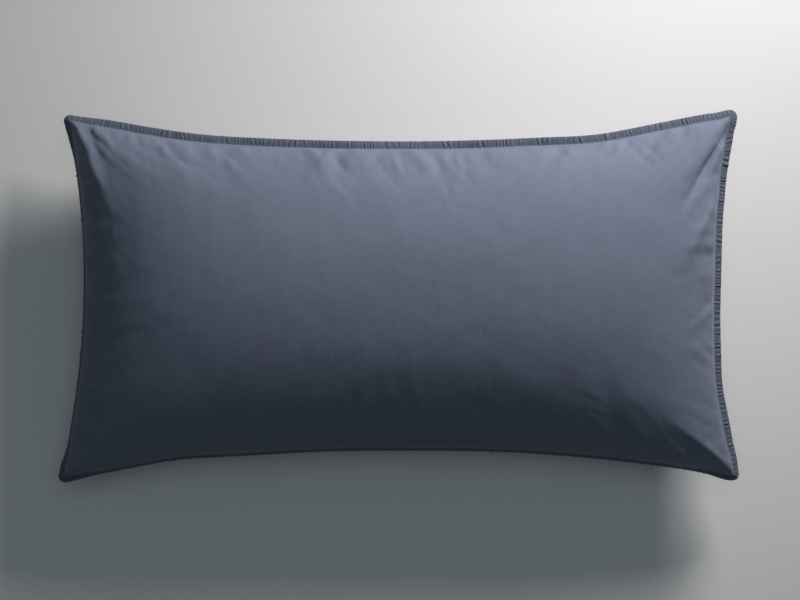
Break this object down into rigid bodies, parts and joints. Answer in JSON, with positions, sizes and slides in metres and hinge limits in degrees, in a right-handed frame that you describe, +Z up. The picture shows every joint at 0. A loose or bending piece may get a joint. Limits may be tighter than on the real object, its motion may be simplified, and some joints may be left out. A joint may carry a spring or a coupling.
{
  "type": "bed pillow",
  "caption": "Rectangular bed pillow: a down and feather insert in a cotton envelope case with a narrow puckered flange round its edge.",
  "frame": {"origin": "centre of the pillow's footprint, on the surface that it lies on", "axes": "+X along the pillow's length, towards the end where the case opens; +Y across its width; +Z up, out of the front panel"},
  "size_m": [0.8997, 0.4922, 0.186],
  "materials": {
    "case_cotton": "washed slate blue percale, matte",
    "case_thread": "matte thread, a shade darker than the cloth",
    "label_tape": "blank woven tape",
    "ticking_cotton": "dense white cotton, calendered",
    "piping_cord_cotton": "undyed twisted cotton cord",
    "ticking_thread": "white thread",
    "chamber_cotton": "thin white cotton",
    "down": "loose white down",
    "feather": "loose off-white feathers"
  },
  "bodies": {
    "root": {"case_front_panel": "case_cotton", "case_back_panel": "case_cotton", "case_back_flap": "case_cotton", "case_topstitch_front": "case_thread", "case_topstitch_back": "case_thread", "case_edge_seam_thread": "case_thread", "case_panel_hem_thread": "case_thread", "case_flap_hem_thread": "case_thread", "case_care_label": "label_tape", "ticking_top_panel": "ticking_cotton", "ticking_bottom_panel": "ticking_cotton", "piping_cord": "piping_cord_cotton", "piping_cover": "ticking_cotton", "insert_seam_thread": "ticking_thread", "insert_label": "label_tape", "top_down_layer": "down", "bottom_down_layer": "down", "chamber_top_sheet": "chamber_cotton", "chamber_bottom_sheet": "chamber_cotton", "feather_core": "feather"}
  },
  "joints": []
}
